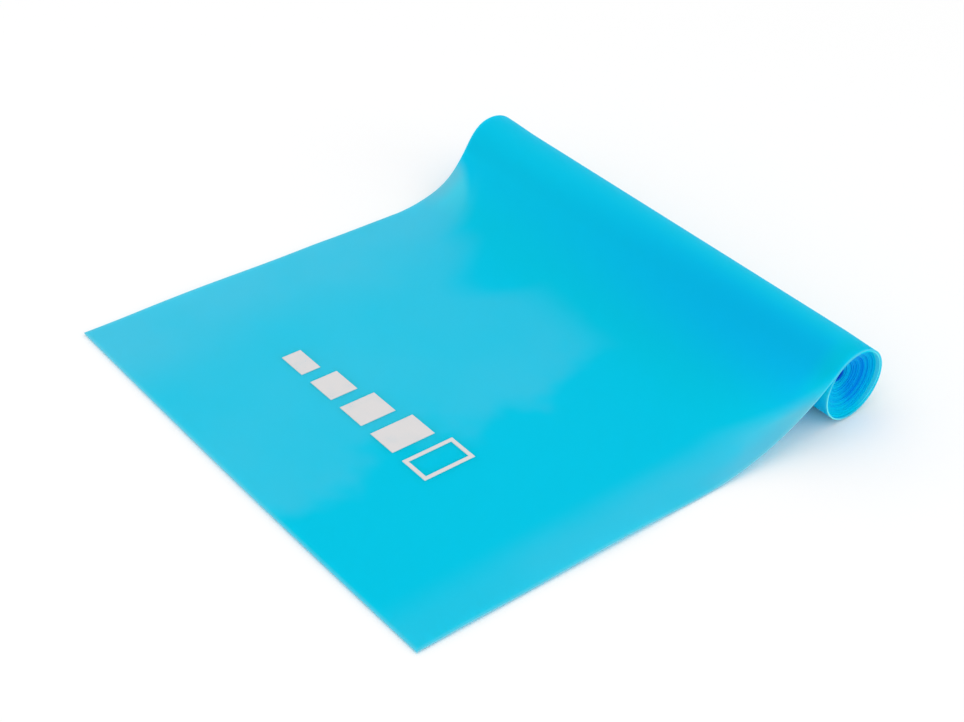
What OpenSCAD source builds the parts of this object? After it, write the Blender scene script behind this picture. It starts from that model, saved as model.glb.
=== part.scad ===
// Stretching strap: one thin latex sheet, its free end laid flat, the rest wound into a loose roll.
// X runs along the strap from the free end to the roll, Y across it, Z up from the table.

/* [Sheet] */
// Width of the strap
strap_w = 150; // [100:1:200]
// Thickness of the latex sheet
sheet_t = 0.35; // [0.2:0.01:0.36]

/* [Laid stretch] */
// Length of the free end panel, which the hand pulls
panel_len = 58; // [57:1:60]
// Length of the span that takes up the stretch
stretch_len = 14; // [10:1:16]
// Length of the strip that bends when the panel is lifted
fold_len = 12; // [8:1:14]

/* [Roll] */
// Outer diameter of the roll
roll_d = 21.3; // [21:0.1:26]
// Distance from the free end to the roll's axis
free_to_axis = 142.85; // [142:0.05:180]
// Distance from the roll's axis back to where the strap leaves the table
foot_to_axis = 44.85; // [40:0.05:48]
// Spacing of neighbouring turns, from middle to middle
turn_pitch = 0.78; // [0.77:0.01:0.84]
// Half turns of the whole winding, the outer wrap included
half_turns = 23; // [9:2:23]
// How far the innermost turn is pushed along the axis, away from the near end
telescope = 5; // [0:0.5:8]

/* [Printed gauge] */
// Number of bars in the strength gauge
bar_count = 5; // [3:1:5]
// Width of one bar, across the strap
bar_w = 9.5; // [6:0.5:12]
// Spacing of the bars, from middle to middle
bar_pitch = 13.5; // [13:0.5:16]
// Length of the shortest bar, along the strap
bar_short = 6; // [3:0.5:8]
// Length that each bar gains on the one before
bar_step = 2.5; // [0.5:0.5:2.5]
// Line width of the last bar, which is only an outline
bar_line = 1.2; // [0.6:0.2:2]
// Distance from the free end to the foot of the bars
bar_foot = 37; // [30:0.5:38]
// Distance from the near edge to the middle of the gauge
bar_mid = 77; // [40:1:80]
// Height of the ink above the sheet
ink_t = 0.1; // [0.05:0.01:0.2]

/* [Hidden] */
$fn = 96;
latex_blue = [0.07, 0.76, 0.89];
ink_grey = [0.88, 0.87, 0.87];

// The origin is on the table, under the middle of the whole object.
free_x = -(free_to_axis + roll_d / 2) / 2;
near_y = -(strap_w + telescope) / 2;
stretch_x = free_x + panel_len;
fold_x = stretch_x + stretch_len;
hinge_x = fold_x + fold_len;
axis_x = free_x + free_to_axis;
axis_z = roll_d / 2;
foot_x = axis_x - foot_to_axis;

// The winding is built of half turns, counted inwards from the top of the roll. The half turns on
// the far side of the axis from the free end are centred on it, and the others half a pitch lower,
// so each half turn starts where the last one ended.
outer_r = roll_d / 2 - sheet_t / 2;
wrap_half_turns = 2;
function turn_r(k) = outer_r - k * turn_pitch / 2;
function turn_z(k) = k % 2 == 0 ? axis_z : axis_z - turn_pitch / 2;
function turn_start(k) = k % 2 == 0 ? -90 : 90;
function turn_shift(k) = k < wrap_half_turns ? 0 : telescope * (k - 1) / (half_turns - wrap_half_turns);

// The strap leaves the table on one arc and reaches the top of the roll on another, and the two
// meet at the same slope. The crest arc is the half turn that would come before the first.
crest = -1;
slope = 2 * atan(2 * outer_r / foot_to_axis);
rise_r = 2 * outer_r / (1 - cos(slope)) - turn_r(crest);

// Least gap of the winding to itself, measured between points of the sheet's middle line.
point_step = 7.5;
function turn_point(k, a) =
    let (side = k % 2 == 0 ? 1 : -1)
    [side * turn_r(k) * sin(a), turn_z(k) + side * turn_r(k) * cos(a)];
least_gap = min([
    for (k = [0 : half_turns - 3])
    for (a = [0 : point_step : 180])
    for (b = [0 : point_step : 180])
    norm(turn_point(k, a) - turn_point(k + 2, b))
]) - sheet_t;
echo(least_gap_mm = least_gap);

// A flat stretch of the strap on the table
module flat_stretch(x, length) {
    translate([x, near_y, 0])
        cube([length, strap_w, sheet_t]);
}

// A curved stretch of the strap about a line along Y, from a start angle and through a sweep,
// both measured from +X towards -Z
module curved_stretch(x, z, r, start, sweep, shift = 0) {
    translate([x, near_y + shift, z])
        rotate([-90, 0, 0])
            rotate([0, 0, start])
                rotate_extrude(angle = sweep)
                    translate([r - sheet_t / 2, 0])
                        square([sheet_t, strap_w]);
}

// One half turn of the winding
module half_turn(k) {
    curved_stretch(axis_x, turn_z(k), turn_r(k), turn_start(k), 180, turn_shift(k));
}

// The free end, flat on the table, with the gauge printed on it
module free_end_panel() {
    color(latex_blue)
        flat_stretch(free_x, panel_len);
}

// The span behind the panel, which lengthens when the panel is pulled
module stretch_span() {
    color(latex_blue)
        flat_stretch(stretch_x, stretch_len);
}

// The strip that bends where the panel is lifted off the table
module fold_strip() {
    color(latex_blue)
        flat_stretch(fold_x, fold_len);
}

// The last flat stretch before the strap rises to the roll
module laid_foot() {
    color(latex_blue)
        flat_stretch(hinge_x, foot_x - hinge_x);
}

// The S-shaped rise from the table to the top of the roll
module rising_span() {
    color(latex_blue) {
        curved_stretch(foot_x, rise_r + sheet_t / 2, rise_r, 90 - slope, slope);
        curved_stretch(axis_x, axis_z - turn_pitch / 2, turn_r(crest), -90 - slope, slope);
    }
}

// The first full turn, which lies round the rest of the roll
module outer_wrap() {
    color(latex_blue)
        for (k = [0 : wrap_half_turns - 1])
            half_turn(k);
}

// The remaining turns, each pushed a little further along the axis than the one outside it
module inner_roll() {
    color(latex_blue)
        for (k = [wrap_half_turns : half_turns - 1])
            half_turn(k);
}

// A row of printed bars that grow along the row, the last one only an outline
module strength_gauge() {
    color(ink_grey)
        for (i = [0 : bar_count - 1]) {
            bar_len = bar_short + i * bar_step;
            bar_y = bar_mid + ((bar_count - 1) / 2 - i) * bar_pitch - bar_w / 2;
            translate([free_x + bar_foot, near_y + bar_y, sheet_t])
                linear_extrude(ink_t)
                    difference() {
                        square([bar_len, bar_w]);
                        if (i == bar_count - 1)
                            translate([bar_line, bar_line])
                                square([bar_len - 2 * bar_line, bar_w - 2 * bar_line]);
                    }
        }
}

free_end_panel();
stretch_span();
fold_strip();
laid_foot();
rising_span();
outer_wrap();
inner_roll();
strength_gauge();
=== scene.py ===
"""Looks of a latex stretching strap, partly unrolled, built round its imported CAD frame."""

import bpy
import numpy as np
from mathutils import Matrix, Vector


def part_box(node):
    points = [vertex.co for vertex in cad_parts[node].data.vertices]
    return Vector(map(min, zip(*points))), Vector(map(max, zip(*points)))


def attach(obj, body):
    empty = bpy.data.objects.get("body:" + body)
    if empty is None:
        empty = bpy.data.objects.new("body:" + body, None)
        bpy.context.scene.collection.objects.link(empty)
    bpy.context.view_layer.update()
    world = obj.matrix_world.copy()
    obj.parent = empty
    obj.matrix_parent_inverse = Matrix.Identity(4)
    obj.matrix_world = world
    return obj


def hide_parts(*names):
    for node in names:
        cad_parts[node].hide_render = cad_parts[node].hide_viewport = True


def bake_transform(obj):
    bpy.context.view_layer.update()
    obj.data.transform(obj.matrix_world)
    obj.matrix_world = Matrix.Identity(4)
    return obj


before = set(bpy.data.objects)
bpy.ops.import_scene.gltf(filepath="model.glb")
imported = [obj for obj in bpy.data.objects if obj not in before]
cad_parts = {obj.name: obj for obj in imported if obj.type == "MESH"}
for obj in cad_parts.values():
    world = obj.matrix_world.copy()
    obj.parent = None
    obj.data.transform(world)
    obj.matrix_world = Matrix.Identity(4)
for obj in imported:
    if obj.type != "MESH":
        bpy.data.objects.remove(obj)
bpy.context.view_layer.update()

# The rise and the outer wrap: the stretch of latex that leaves the table in an S, goes over the top
# of the roll and once round it. It is plain sheet, held in shape only by its own stiffness, and it
# leaves the table later, and so more steeply, at the far edge than at the near one.
MM = 0.001
panel_low, panel_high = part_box("free_end_panel")
wrap_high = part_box("outer_wrap")[1]
free_x = panel_low.x
near_y = panel_low.y
far_y = panel_high.y
strap_width = far_y - near_y
sheet_thickness = panel_high.z
roll_radius = wrap_high.z / 2
axis_x = wrap_high.x - roll_radius
axis_z = roll_radius
outer_radius = roll_radius - sheet_thickness / 2
hinge_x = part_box("laid_foot")[0].x
fold_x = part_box("fold_strip")[0].x
rise_seam_x = hinge_x + 2 * MM
pay_out_x = rise_seam_x + 6 * MM
curl_height = 0.45 * MM
curl_width = 26 * MM
curl_wave = 61 * MM
curl_shift = 60
curl_change = 0.4
end_height = 0.15 * MM
end_length = 22 * MM


def smooth_step(value, low, high):
    """0 below low, 1 above high, and 3t^2 - 2t^3 between them; low may be the larger of the two."""
    t = np.clip((value - low) / (high - low), 0, 1)
    return t * t * (3 - 2 * t)


def laid_height(x, y):
    """Height of the laid sheet over the table: the long edges curl up as the square of the distance
    from a line inside them, in slow waves along the strap, and the free end lifts in the same way, most
    in its middle and not at its corners."""
    from_edge = np.minimum(y - near_y, far_y - y)
    edge_curl = np.clip(1 - from_edge / curl_width, 0, 1) ** 2
    wave = np.sin(2 * np.pi * (x - free_x) / curl_wave + curl_shift * y)
    waves = 1 - curl_change + curl_change * wave
    end_curl = np.clip(1 - (x - free_x) / end_length, 0, 1) ** 2
    bow = np.sin(np.pi * (y - near_y) / strap_width)
    settled = smooth_step(x, rise_seam_x, fold_x) * smooth_step(x, free_x, free_x + end_length)
    return curl_height * edge_curl * waves * settled + end_height * end_curl * bow


turn_pitch = 0.38 * MM
roll_turns = 23.5
core_oval = 0.25 * MM
oval_drift = 0.003


def turn_radius(turn):
    """Radius of the middle of the sheet, turn radians on from the top of the roll: it shrinks by one
    pitch a turn, and the turns grow more oval, as the square of their number, towards the core. The
    oval turns so slowly from one turn to the next that neighbours never meet."""
    turns_in = np.clip(turn / (2 * np.pi) - 1, 0, None) / roll_turns
    oval = core_oval * turns_in**2 * np.sin((2 + oval_drift) * turn)
    return outer_radius - turn_pitch * turn / (2 * np.pi) + oval


slope_near = np.radians(43.0)
slope_far = np.radians(59.5)
sag_far = 1.3 * MM
sag_start = 0.2
sag_lean = 1.5
loose_height = 0.4 * MM
loose_width = 12 * MM
loose_crest = 0.2
flare_height = 0.5 * MM
flare_width = 14 * MM
rows_across = 61
flat_rows = 24
rise_rows = 48
crest_rows = 20
wrap_rows = 96


def rise_and_wrap():
    """Middle surface of the rise and the outer wrap, along by across. Each line along the strap runs
    flat to its foot, up an arc that is tangent to the table, over an arc about the roll's axis to the
    top, and round one turn. With slope a where the arcs meet, the foot lies 2R / tan(a / 2) before
    the axis, and the first arc's radius is R (1 + cos a) / (1 - cos a). The first arc sags towards the
    far edge, and the second stands a little off the roll, except at its near end."""
    across = np.linspace(0, 1, rows_across)
    y = near_y + strap_width * across
    slope = slope_near + (slope_far - slope_near) * across
    foot_x = axis_x - 2 * outer_radius / np.tan(slope / 2)
    rise_radius = outer_radius * (1 + np.cos(slope)) / (1 - np.cos(slope))
    flat_part = np.linspace(0, 1, flat_rows, endpoint=False)[:, None]
    rise_part = np.linspace(0, 1, rise_rows, endpoint=False)[:, None]
    crest_part = np.linspace(1, 0, crest_rows, endpoint=False)[:, None]
    turn = np.linspace(0, 2 * np.pi, wrap_rows)[:, None]
    flat_x = rise_seam_x + flat_part * (foot_x - rise_seam_x)
    flat_z = np.full_like(flat_x, sheet_thickness / 2)
    rise_x = foot_x + rise_radius * np.sin(rise_part * slope)
    rise_z = rise_radius * (1 - np.cos(rise_part * slope)) + sheet_thickness / 2
    rise_z -= sag_far * smooth_step(across, sag_start, 1) * np.sin(np.pi * rise_part**sag_lean) ** 2
    loose = loose_height * smooth_step(y, near_y, near_y + loose_width)
    loose += flare_height * smooth_step(y, far_y - flare_width, far_y)
    crest_radius = outer_radius + loose * smooth_step(crest_part, 1, loose_crest)
    crest_x = axis_x - crest_radius * np.sin(crest_part * slope)
    crest_z = axis_z + crest_radius * np.cos(crest_part * slope)
    wrap_radius = turn_radius(turn) + loose * smooth_step(turn, np.pi / 2, 0)
    wrap_x = axis_x + wrap_radius * np.sin(turn)
    wrap_z = axis_z + wrap_radius * np.cos(turn)
    x = np.concatenate([flat_x, rise_x, crest_x, wrap_x])
    z = np.concatenate([flat_z, rise_z, crest_z, wrap_z])
    y = np.broadcast_to(y, x.shape)
    return np.stack([x, y, z + laid_height(x, y) * (x < pay_out_x)], -1)


class Wire:
    """A shader socket in a node tree. Arithmetic on wires adds Math nodes, and node() adds any other."""

    def __init__(self, tree, socket=None):
        self.tree = tree
        self.socket = socket

    def node(self, kind, settings, inputs, output=0):
        """A new node of a kind, with its settings, and wires or plain values at its inputs."""
        made = self.tree.nodes.new(kind)
        for setting, value in settings.items():
            setattr(made, setting, value)
        for name, value in inputs.items():
            if isinstance(value, Wire):
                self.tree.links.new(value.socket, made.inputs[name])
            else:
                made.inputs[name].default_value = value
        return Wire(self.tree, made.outputs[output]) if made.outputs else None

    def math(self, operation, first, second):
        return self.node("ShaderNodeMath", {"operation": operation}, {0: first, 1: second})

    def __add__(self, other):
        return self.math("ADD", self, other)

    def __radd__(self, other):
        return self.math("ADD", other, self)

    def __sub__(self, other):
        return self.math("SUBTRACT", self, other)

    def __rsub__(self, other):
        return self.math("SUBTRACT", other, self)

    def __mul__(self, other):
        return self.math("MULTIPLY", self, other)

    def __rmul__(self, other):
        return self.math("MULTIPLY", other, self)

    def least(self, other):
        return self.math("MINIMUM", self, other)

    def most(self, other):
        return self.math("MAXIMUM", self, other)

    def step(self, low, high):
        """0 at low, 1 at high, eased at both ends; low may be the larger of the two."""
        settings = {"interpolation_type": "SMOOTHSTEP", "clamp": True}
        inputs = {"Value": self, "From Min": low, "From Max": high}
        return self.node("ShaderNodeMapRange", settings, inputs)

    def mix(self, first, second):
        """The colour first where this wire is 0, and second where it is 1."""
        settings = {"data_type": "RGBA", "clamp_factor": True}
        return self.node("ShaderNodeMix", settings, {0: self, 6: first, 7: second}, output=2)


def new_finish(name):
    """An empty material and a wire at the start of its node tree."""
    material = bpy.data.materials.new(name)
    material.use_nodes = True
    material.node_tree.nodes.clear()
    return material, Wire(material.node_tree)


def noise(place, size, detail):
    """Soft noise about 0.5, in patches of a size, over the places that a wire gives."""
    inputs = {"Vector": place, "Scale": 1 / size, "Detail": detail}
    return place.node("ShaderNodeTexNoise", {}, inputs)


# About where the strap leaves the table. In the latex, a pair of values is where something starts and
# where it is full.
lift_x = axis_x - 36 * MM


def far_talc_and_sheen_film(along, from_near, from_far, ragged):
    """Talc over the far half of the strap, with a painted sheen on it, more towards the far edge. By that
    edge it ends up the rise in a curve, sharp at first and soft further in, and elsewhere about where the
    strap leaves the table, with a notch in it. Its other borders are ragged, and lean towards the far
    edge up the rise."""
    half_share = 0.48
    half_start = (49 * MM, 65 * MM)
    half_lean = 0.35
    lean_x = lift_x - 25 * MM
    side_share = 0.52
    side_start = (40 * MM, 2 * MM)
    side_lean = 0.6
    end_curve = 39
    sharp_end = (lift_x + 24.5 * MM, lift_x + 21 * MM)
    soft_end = (lift_x + 29.5 * MM, lift_x + 13.5 * MM)
    soft_strip = (6 * MM, 16 * MM)
    notch_line = 43 * MM
    notch_side = (17 * MM, 1 * MM)
    notch_depth = 13 * MM
    middle_end = (lift_x + 12 * MM, lift_x - 4 * MM)
    middle_ragged = 0.25
    inward = from_near + ragged - half_lean * (along - lean_x).most(0.0)
    outward = from_far + side_lean * (along - lift_x).most(0.0)
    film = half_share * inward.step(*half_start) + side_share * outward.step(*side_start)
    curved = along + end_curve * from_far * from_far
    sharp = curved.step(*sharp_end)
    by_edge = sharp + (curved.step(*soft_end) - sharp) * from_far.step(*soft_strip)
    from_notch = along.node("ShaderNodeMath", {"operation": "ABSOLUTE"}, {0: from_far - notch_line})
    notched = along + notch_depth * from_notch.step(*notch_side) + middle_ragged * ragged
    return film * by_edge.most(notched.step(*middle_end))


def near_talc_and_sheen_film(along, from_near, near_dust_and_shade):
    """Talc with a painted sheen on it in a strip along the near edge: thin at the free end, more towards
    the rise and most on it, where the strip narrows."""
    least_share = 0.15
    laid_share = 0.42
    risen_share = 0.9
    risen_start = (-2 * MM, 10 * MM)
    dust_and_shade_share = 0.4
    strip = (18 * MM, 6 * MM)
    narrowing = 0.62
    past_foot = (along - lift_x).most(0.0)
    laid = least_share + laid_share * along.step(free_x, hinge_x)
    film = laid + risen_share * past_foot.step(*risen_start) + dust_and_shade_share * near_dust_and_shade
    return film * (from_near + narrowing * past_foot).step(*strip)


def layers_under(along, from_near, height):
    """1 where the roll's layers lie under the sheet, and 0 where it is alone: before the roll, and in a
    narrow strip at the roll's near end, above and behind, where it stands out past the other turns."""
    layers_start = (axis_x - 30 * MM, axis_x - 10 * MM)
    lone_strip = (9 * MM, 1 * MM)
    lone_height = (8 * MM, 14 * MM)
    lone_back = (axis_x - 2 * MM, axis_x + 4 * MM)
    above = height.step(*lone_height).most(along.step(*lone_back))
    return along.step(*layers_start) * (1 - from_near.step(*lone_strip) * above)


end_bow = 0.7 * MM


def edge_share(along, from_near, from_far, on_roll):
    """1 on the cut faces of the sheet, and less on a thin line beside them: along its two sides, and, off
    the roll, where the line is wider, along its bowed free end too. On the roll these take a painted
    highlight; on the table they are dusty and painted lighter against the shade on them."""
    line_share = 0.4
    roll_line = (0.5 * MM, 0.1 * MM)
    laid_line = (1.2 * MM, 0.1 * MM)
    cut_edge = along.node("ShaderNodeAttribute", {"attribute_name": "cut_edge"}, {}, output="Fac")
    bow = along.node("ShaderNodeMath", {"operation": "SINE"}, {0: from_near * (np.pi / strap_width)})
    from_end = along - free_x + end_bow * bow
    from_side = from_near.least(from_far)
    on_roll_line = line_share * on_roll * from_side.step(*roll_line)
    on_laid_line = line_share * (1 - on_roll) * from_side.least(from_end).step(*laid_line)
    return cut_edge.most(on_roll_line).most(on_laid_line)


rubber_shine = 0.04


def latex_finish():
    """Dipped latex sheet: clear cyan, with a deeper blue painted where the roll's layers lie under it,
    for the light that comes up through them, and a painted shade on the roll's front, most towards its
    near end. It is paled and dulled by a film of talcum with a painted sheen on it, and has a fine grain.
    Its cut edges are dusty on the table and painted lighter against the shade on them, and carry a
    painted highlight on the roll. By the edges of the rise the dust is darkened by a painted shade. Light
    comes through it, less where it lies on the roll, and least low on the roll's front, where it is
    tight."""
    clear_cyan = (0.0, 0.91, 1.0, 1)
    through_layers_cyan = (0.0, 0.77, 1.0, 1)
    painted_shade_cyan = (0.0, 0.66, 1.0, 1)
    talc_and_sheen_cyan = (0.14, 0.91, 0.99, 1)
    dusty_shaded_cyan = (0.24, 0.76, 0.84, 1)
    painted_edge_highlight = (0.20, 0.96, 1.0, 1)
    dusty_painted_light_edge = (0.30, 0.70, 0.80, 1)
    through_cyan = (0.0, 0.78, 0.95, 1)
    material, start = new_finish("latex")
    place = start.node("ShaderNodeAttribute", {"attribute_name": "laid_place"}, {}, output="Vector")
    along = start.node("ShaderNodeSeparateXYZ", {}, {0: place}, output="X")
    across = start.node("ShaderNodeSeparateXYZ", {}, {0: place}, output="Y")
    height = start.node("ShaderNodeSeparateXYZ", {}, {0: place}, output="Z")
    from_near = across - near_y
    from_far = far_y - across

    drift_size = 30 * MM
    drift_detail = 3.0
    drift_middle = 0.5
    ragged_depth = 60 * MM
    # Strips along both edges, towards and on the rise, are dusty, and their colour is darkened as a
    # painted shade.
    dust_and_shade_strip = (7 * MM, 1 * MM)
    near_dust_and_shade_start = (lift_x - 25 * MM, lift_x + 8 * MM)
    far_dust_and_shade_start = (lift_x + 4 * MM, lift_x + 16 * MM)
    drifts = noise(place, drift_size, drift_detail) - drift_middle
    near_dust_and_shade = from_near.step(*dust_and_shade_strip) * along.step(*near_dust_and_shade_start)
    far_dust_and_shade = from_far.step(*dust_and_shade_strip) * along.step(*far_dust_and_shade_start)
    far_talc_and_sheen = far_talc_and_sheen_film(along, from_near, from_far, drifts * ragged_depth)
    near_talc_and_sheen = near_talc_and_sheen_film(along, from_near, near_dust_and_shade)
    # Talc film with a painted sheen on it: one mask pales the colour and dulls the gloss.
    talc_and_sheen = far_talc_and_sheen.most(near_talc_and_sheen) * (1 + drifts)
    talc_and_sheen_colour = near_dust_and_shade.most(far_dust_and_shade).mix(talc_and_sheen_cyan, dusty_shaded_cyan)

    # A deeper blue is painted where the roll's layers lie under the sheet, for the light that comes up
    # through them, and a painted shade over the roll's front, most by the near edge.
    painted_shade_strip = (130 * MM, 20 * MM)
    painted_shade_back = (axis_x + 2 * MM, axis_x - 6 * MM)
    layered = layers_under(along, from_near, height)
    painted_shade = from_near.step(*painted_shade_strip) * along.step(*painted_shade_back)
    sheet_colour = layered.mix(clear_cyan, painted_shade.mix(through_layers_cyan, painted_shade_cyan))

    # On the roll the cut edges carry a painted highlight; on the table they are dusty and painted lighter
    # against the shade on them.
    roll_start = (axis_x - 17 * MM, axis_x - 11 * MM)
    on_roll = along.step(*roll_start)
    edge = edge_share(along, from_near, from_far, on_roll)
    edge_colour = on_roll.mix(dusty_painted_light_edge, painted_edge_highlight)

    grain_size = 0.45 * MM
    grain_detail = 2.0
    grain_strength = 0.12
    grain_depth = 0.05 * MM
    bare_roughness = 0.40
    talc_roughness = 0.14
    grain_roughness = 0.06
    grain = noise(place, grain_size, grain_detail)
    raised = {"Strength": grain_strength, "Distance": grain_depth, "Height": grain}
    latex = start.node(
        "ShaderNodeBsdfPrincipled",
        {},
        {
            "Base Color": edge.mix(talc_and_sheen.mix(sheet_colour, talc_and_sheen_colour), edge_colour),
            "Roughness": bare_roughness + talc_roughness * talc_and_sheen + grain_roughness * grain,
            "Specular IOR Level": rubber_shine,
            "Normal": start.node("ShaderNodeBump", {}, raised),
        },
    )

    single_through = 0.6
    layered_through = 0.4
    tight_loss = 0.75
    edge_loss = 0.5
    tight_height = (axis_z + 4 * MM, axis_z)
    tight_front = (axis_x - 11.6 * MM, axis_x - 10.4 * MM)
    tight_back = (axis_x, axis_x - 6 * MM)
    tight = height.step(*tight_height) * along.step(*tight_front) * along.step(*tight_back)
    whole_share = single_through + (layered_through - single_through) * layered
    share = whole_share * (1 - tight_loss * tight) * (1 - edge_loss * edge * (1 - on_roll))
    glow = start.node("ShaderNodeBsdfTranslucent", {}, {"Color": through_cyan})
    surface = start.node("ShaderNodeMixShader", {}, {0: share, 1: latex, 2: glow})
    start.node("ShaderNodeOutputMaterial", {}, {"Surface": surface})
    return material


def clear_finish():
    """Nothing to be seen, for the faces in which one piece of the strap runs on in the next."""
    material, start = new_finish("clear_joint")
    clear = start.node("ShaderNodeBsdfTransparent", {}, {})
    start.node("ShaderNodeOutputMaterial", {}, {"Surface": clear})
    return material


clear_joint = clear_finish()
crease_angle = np.radians(40)


def sheet_piece(name, middle, finish, runs_on):
    """A closed sheet of even thickness round a middle surface, given as a grid of points along and
    across the strap: the grid is moved half the thickness each way along its normal, and a rim joins
    the two copies round all four sides. Rim faces carry the attribute cut_edge, apart from those at the
    first or last row, named in runs_on, where the strap runs on in the next piece: they are clear.
    The attribute laid_place keeps each point's place at rest, so that the finish moves with the strap."""
    normal = np.cross(np.gradient(middle, axis=0), np.gradient(middle, axis=1))
    normal /= np.linalg.norm(normal, axis=2, keepdims=True)
    upper = middle + normal * sheet_thickness / 2
    lower = middle - normal * sheet_thickness / 2
    points = np.concatenate([upper.reshape(-1, 3), lower.reshape(-1, 3)])
    rows, columns = middle.shape[:2]
    top = np.arange(rows * columns).reshape(rows, columns)
    quads = np.stack([top[:-1, :-1], top[1:, :-1], top[1:, 1:], top[:-1, 1:]], -1).reshape(-1, 4)
    ring = np.concatenate([top[:-1, 0], top[-1, :-1], top[:0:-1, -1], top[0, :0:-1]])
    after = np.roll(ring, -1)
    rim = np.stack([ring + top.size, after + top.size, after, ring], -1)
    faces = np.concatenate([quads, quads[:, ::-1] + top.size, rim])
    mesh = bpy.data.meshes.new(name)
    mesh.from_pydata(points.tolist(), [], faces.tolist())
    mesh.shade_smooth()
    mesh.set_sharp_from_angle(angle=crease_angle)
    side = np.repeat(["near", "last", "far", "first"], [rows - 1, columns - 1, rows - 1, columns - 1])
    on_sheet = np.zeros(2 * len(quads), bool)
    joined = np.concatenate([on_sheet, np.isin(side, runs_on)]).astype(np.int32)
    cut = np.concatenate([on_sheet, ~np.isin(side, runs_on)]).astype(np.float32)
    mesh.attributes.new("cut_edge", "FLOAT", "FACE").data.foreach_set("value", cut)
    laid_place = mesh.attributes.new("laid_place", "FLOAT_VECTOR", "POINT")
    laid_place.data.foreach_set("vector", points.astype(np.float32).ravel())
    mesh.materials.append(finish)
    mesh.materials.append(clear_joint)
    mesh.polygons.foreach_set("material_index", joined)
    piece = bpy.data.objects.new(name, mesh)
    bpy.context.scene.collection.objects.link(piece)
    return piece


latex = latex_finish()
rise_middle = rise_and_wrap()
rise = sheet_piece("rise_and_outer_wrap", rise_middle, latex, runs_on=["first", "last"])
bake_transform(rise)
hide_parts("laid_foot", "rising_span", "outer_wrap")

# The inner roll: the rest of the same sheet, wound up tightly by hand with no core or tie. Its turns
# have slid along the axis, so the near end of the roll is a shallow funnel and the far end a cone.
roll_end_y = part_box("inner_roll")[1].y
steps_a_turn = 64
columns_wound = 5
drawn_in = 1.2 * MM
ring_slip = 0.10 * MM
ring_turns = 3.3
slip_start = (1, 3)
draw_start = (1, 2)


def wound_finish():
    """Latex in the depth of the roll: the light that leaves it has come far through the sheet, so it is
    painted blue, in soft lighter and darker rings about the axis, darkest in its innermost turn as a
    painted shade in the hole at the core, and pale just round that. Painted light makes it paler on the
    side towards the strap; it is as pale as the strap in its outermost turns, and on the side away from
    the strap their edges carry a painted highlight, the palest of all."""
    core_shade_blue = (0.0, 0.12, 0.80, 1)
    dark_blue = (0.0, 0.40, 1.0, 1)
    pale_blue = (0.0, 0.60, 1.0, 1)
    outer_cyan = (0.0, 0.80, 1.0, 1)
    rim_highlight_cyan = (0.16, 0.92, 1.0, 1)
    through_blue = (0.0, 0.60, 1.0, 1)
    share_through = 0.12
    ring_size = 1.9 * MM
    ring_noise = (0.38, 0.62)
    core_shade_end = (1.9 * MM, 2.7 * MM)
    eye_end = (4.6 * MM, 3.6 * MM)
    painted_light_share = 0.52
    painted_light_side = (axis_x + 3.5 * MM, axis_x - 1 * MM)
    outer_turns = (outer_radius - 4.2 * turn_pitch, outer_radius - 1.5 * turn_pitch)
    rim_highlight_turns = (outer_radius - 2.1 * turn_pitch, outer_radius - 1.4 * turn_pitch)
    rim_highlight_side = (axis_x + 3 * MM, axis_x + 8 * MM)
    least_roughness = 0.42
    ring_roughness = 0.1
    material, start = new_finish("wound_latex")
    place = start.node("ShaderNodeTexCoord", {}, {}, output="Object")
    along = start.node("ShaderNodeSeparateXYZ", {}, {0: place}, output="X")
    section = start.node("ShaderNodeVectorMath", {"operation": "MULTIPLY"}, {0: place, 1: (1, 0, 1)})
    ends = {0: section, 1: (axis_x, 0, axis_z)}
    from_axis = start.node("ShaderNodeVectorMath", {"operation": "DISTANCE"}, ends, output="Value")
    ring_place = {"W": from_axis, "Scale": 1 / ring_size}
    rings = start.node("ShaderNodeTexNoise", {"noise_dimensions": "1D"}, ring_place)
    pale = rings.step(*ring_noise).most(from_axis.step(*eye_end))
    # Painted light: paler on the side towards the strap.
    painted_light = painted_light_share * along.step(*painted_light_side)
    blue = painted_light.mix(pale.mix(dark_blue, pale_blue), outer_cyan)
    # Painted shade: the innermost turn, round the hole at the core, is darkest.
    inside = from_axis.step(*core_shade_end).mix(core_shade_blue, blue)
    # Painted highlight on the edges of the outermost turns, on the side away from the strap.
    rim = from_axis.step(*rim_highlight_turns) * along.step(*rim_highlight_side)
    latex = start.node(
        "ShaderNodeBsdfPrincipled",
        {},
        {
            "Base Color": rim.mix(from_axis.step(*outer_turns).mix(inside, outer_cyan), rim_highlight_cyan),
            "Roughness": least_roughness + ring_roughness * rings,
            "Specular IOR Level": rubber_shine,
        },
    )
    glow = start.node("ShaderNodeBsdfTranslucent", {}, {"Color": through_blue})
    surface = start.node("ShaderNodeMixShader", {}, {0: share_through, 1: latex, 2: glow})
    start.node("ShaderNodeOutputMaterial", {}, {"Surface": surface})
    return material


def wound_turns():
    """Middle surface of the inner turns, along by across: a spiral about the roll's axis, from one turn
    in to the core. It slips along the axis as it winds, steadily and also back and forth a little every
    few turns, and after its first turn the pull of the winding has drawn its near edge in."""
    turns = np.linspace(1, roll_turns, int((roll_turns - 1) * steps_a_turn))[:, None]
    turn = 2 * np.pi * turns
    slip = (roll_end_y - far_y) * (turns - 1) / (roll_turns - 1)
    slip += ring_slip * np.sin(2 * np.pi * turns / ring_turns) * smooth_step(turns, *slip_start)
    across = np.linspace(0, 1, columns_wound)
    y = near_y + strap_width * across + slip + drawn_in * smooth_step(turns, *draw_start) * (1 - across)
    x = axis_x + turn_radius(turn) * np.sin(turn)
    z = axis_z + turn_radius(turn) * np.cos(turn)
    return np.stack(np.broadcast_arrays(x, y, z), -1)


roll_middle = wound_turns()
roll = sheet_piece("inner_roll_turns", roll_middle, wound_finish(), runs_on=["first"])
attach(roll, "roll_core")
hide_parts("inner_roll")

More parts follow.
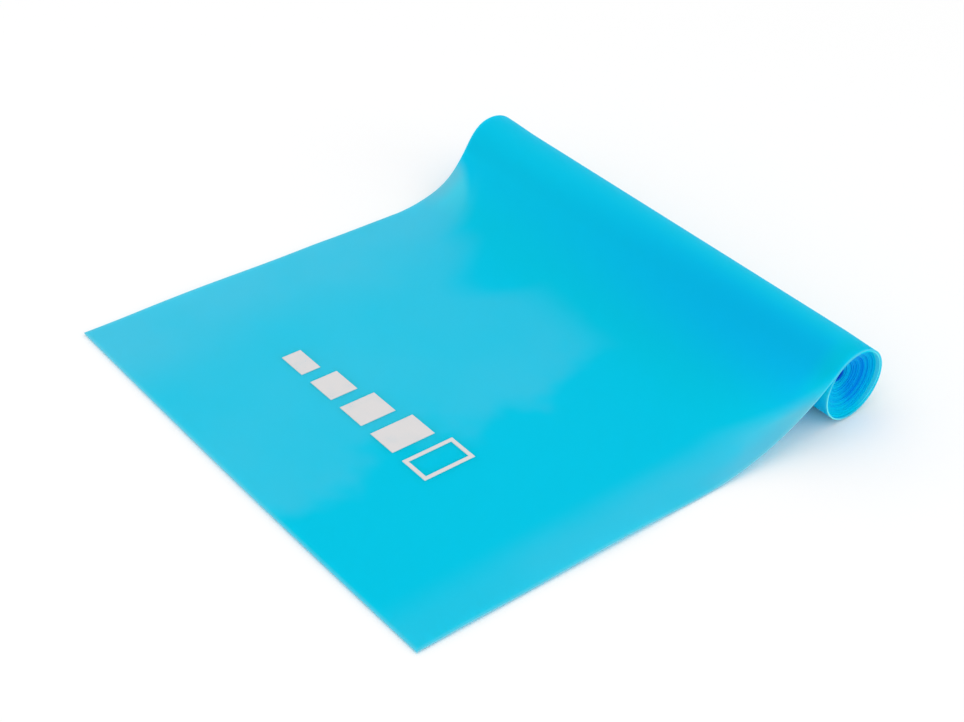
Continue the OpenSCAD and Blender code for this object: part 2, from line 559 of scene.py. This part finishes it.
# The fold: a short stretch of the laid sheet, where the strap bends when its end is lifted.
# It is the same plain latex, and it lies flat on the table until then.
fold_rows = 113
bow_length = 36 * MM


def laid_stretch(start_x, end_x, rows_along):
    """Middle surface of a laid stretch, along by across: a rectangle at half the sheet's thickness,
    raised by the curl of its edges, whose free end bows out a little in its middle."""
    x = np.linspace(start_x, end_x, rows_along)[:, None]
    y = near_y + strap_width * np.linspace(0, 1, rows_across)[None, :]
    x, y = np.broadcast_arrays(x, y)
    bow = np.sin(np.pi * (y - near_y) / strap_width) * smooth_step(x, free_x + bow_length, free_x)
    return np.stack([x - end_bow * bow, y, sheet_thickness / 2 + laid_height(x, y)], -1)


fold_middle = laid_stretch(fold_x, rise_seam_x, fold_rows)
fold = sheet_piece("fold", fold_middle, latex, runs_on=["first", "last"])
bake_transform(fold)
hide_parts("fold_strip")

# The free end: the flat stretch that the hand takes hold of, cut square across with no hem.
# It lengthens just behind the print when it is pulled.
free_end_rows = 73
free_end = sheet_piece("free_end", laid_stretch(free_x, fold_x, free_end_rows), latex, runs_on=["last"])
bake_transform(free_end)
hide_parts("free_end_panel", "stretch_span")


# The strength gauge: five bars of pale grey ink, screen printed on the free end. The ink lies on the
# latex as a thin matt film, a little uneven and pricked with pinholes from the screen.
def ink_finish():
    """Matt pale grey ink with slow cloudiness, pinholes and a fine screen grain."""
    ink_grey = (0.72, 0.70, 0.70, 1)
    thin_grey = (0.60, 0.65, 0.68, 1)
    pinhole_blue = (0.25, 0.55, 0.68, 1)
    cloud_size = 6 * MM
    cloud_detail = 3.0
    screen_size = 0.3 * MM
    screen_detail = 1.0
    screen_strength = 0.2
    screen_depth = 0.04 * MM
    thin_share = 0.5
    thin_clouds = (0.4, 0.8)
    pinhole_grain = (0.70, 0.78)
    pinhole_clouds = (0.45, 0.65)
    least_roughness = 0.55
    cloud_roughness = 0.15
    ink_shine = 0.3
    material, start = new_finish("ink")
    place = start.node("ShaderNodeTexCoord", {}, {}, output="Object")
    clouds = noise(place, cloud_size, cloud_detail)
    grain = noise(place, screen_size, screen_detail)
    pinholes = grain.step(*pinhole_grain) * clouds.step(*pinhole_clouds)
    film = (thin_share * clouds.step(*thin_clouds)).mix(ink_grey, thin_grey)
    raised = {"Strength": screen_strength, "Distance": screen_depth, "Height": grain}
    ink = start.node(
        "ShaderNodeBsdfPrincipled",
        {},
        {
            "Base Color": pinholes.mix(film, pinhole_blue),
            "Roughness": least_roughness + cloud_roughness * clouds,
            "Specular IOR Level": ink_shine,
            "Normal": start.node("ShaderNodeBump", {}, raised),
        },
    )
    start.node("ShaderNodeOutputMaterial", {}, {"Surface": ink})
    return material


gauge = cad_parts["strength_gauge"]
gauge.data.materials.clear()
gauge.data.materials.append(ink_finish())

# The floor: a plain white table top, much larger than the view. It goes white where the light falls
# freely on it, keeps the strap's soft shadow, and away from the strap runs on as plain white.
floor_half = 3.0
floor_drop = 0.35 * MM
floor_white = (0.95, 0.94, 0.92, 1)
plain_white = (1, 1, 1, 1)
plain_start = (0.25, 0.6)
plain_level = 1.0


def background_ray(start):
    """1 on rays that show the background as it is, from the camera, off a gloss or through a sheet, and
    0 on rays that only carry its light."""
    camera = start.node("ShaderNodeLightPath", {}, {}, output="Is Camera Ray")
    glossy = start.node("ShaderNodeLightPath", {}, {}, output="Is Glossy Ray")
    through = start.node("ShaderNodeLightPath", {}, {}, output="Is Transmission Ray")
    return camera.most(glossy).most(through)


def floor_finish():
    """Matt white paint: a warm white for the light that it throws back, plain white where it is seen, and
    away from the strap an even white with no light or shade on it."""
    material, start = new_finish("floor")
    seen = background_ray(start)
    place = start.node("ShaderNodeTexCoord", {}, {}, output="Object")
    away = start.node("ShaderNodeVectorMath", {"operation": "LENGTH"}, {0: place}, output="Value")
    matt = start.node("ShaderNodeBsdfDiffuse", {}, {"Color": seen.mix(floor_white, plain_white)})
    plain = start.node("ShaderNodeEmission", {}, {"Color": plain_white, "Strength": plain_level})
    share = seen * away.step(*plain_start)
    surface = start.node("ShaderNodeMixShader", {}, {0: share, 1: matt, 2: plain})
    start.node("ShaderNodeOutputMaterial", {}, {"Surface": surface})
    return material


floor_mesh = bpy.data.meshes.new("floor")
corner_signs = ((-1, -1), (1, -1), (1, 1), (-1, 1))
corners = [(x * floor_half, y * floor_half, -floor_drop) for x, y in corner_signs]
floor_mesh.from_pydata(corners, [], [(0, 1, 2, 3)])
floor_mesh.materials.append(floor_finish())
floor = bpy.data.objects.new("floor", floor_mesh)
bpy.context.scene.collection.objects.link(floor)

# The studio: an evenly white room with two square soft lamps that face the strap, a broad one
# overhead, a little behind it, and a low one in front on the right, which lights the roll's near end.
room_level = 0.92
lamp_size = 0.7
overhead_place = Vector((-0.20, 0.10, 0.80))
overhead_power = 0.65
front_place = Vector((0.45, -0.90, 0.14))
front_power = 1.45


def soft_lamp(name, place, power):
    """A square lamp at a place, turned to the middle of the frame."""
    lamp_data = bpy.data.lights.new(name, "AREA")
    lamp_data.shape = "SQUARE"
    lamp_data.size = lamp_size
    lamp_data.energy = power
    lamp = bpy.data.objects.new(name, lamp_data)
    lamp.location = place
    lamp.rotation_euler = (-place).to_track_quat("-Z", "Y").to_euler()
    bpy.context.scene.collection.objects.link(lamp)


world = bpy.data.worlds.new("studio")
world.use_nodes = True
world.node_tree.nodes.clear()
room = Wire(world.node_tree)
room_strength = room_level + (plain_level - room_level) * background_ray(room)
backdrop = room.node("ShaderNodeBackground", {}, {"Color": plain_white, "Strength": room_strength})
room.node("ShaderNodeOutputWorld", {}, {"Surface": backdrop})
bpy.context.scene.world = world
soft_lamp("overhead", overhead_place, overhead_power)
soft_lamp("front", front_place, front_power)

# The camera: a short telephoto view from the free end's near corner, a little tilted, as the
# photograph was taken.
view_azimuth = np.radians(-40.54)
view_elevation = np.radians(36.46)
view_roll = np.radians(2.72)
view_distance = 0.48557
view_target = Vector((free_x + 80.26 * MM, near_y + 76.24 * MM, 0))
sensor_width = 36
focal_length = 66.76
back = Vector(
    (
        np.sin(view_azimuth) * np.cos(view_elevation),
        -np.cos(view_azimuth) * np.cos(view_elevation),
        np.sin(view_elevation),
    )
)
level_right = Vector((0, 0, 1)).cross(back).normalized()
level_up = back.cross(level_right)
right = level_right * np.cos(view_roll) + level_up * np.sin(view_roll)
up = level_up * np.cos(view_roll) - level_right * np.sin(view_roll)
turned = Matrix((right, up, back)).transposed()
camera_data = bpy.data.cameras.new("camera")
camera_data.sensor_width = sensor_width
camera_data.lens = focal_length
camera = bpy.data.objects.new("camera", camera_data)
camera.matrix_world = Matrix.Translation(view_target + back * view_distance) @ turned.to_4x4()
bpy.context.scene.collection.objects.link(camera)
bpy.context.scene.camera = camera
bpy.context.scene.view_settings.view_transform = "Standard"
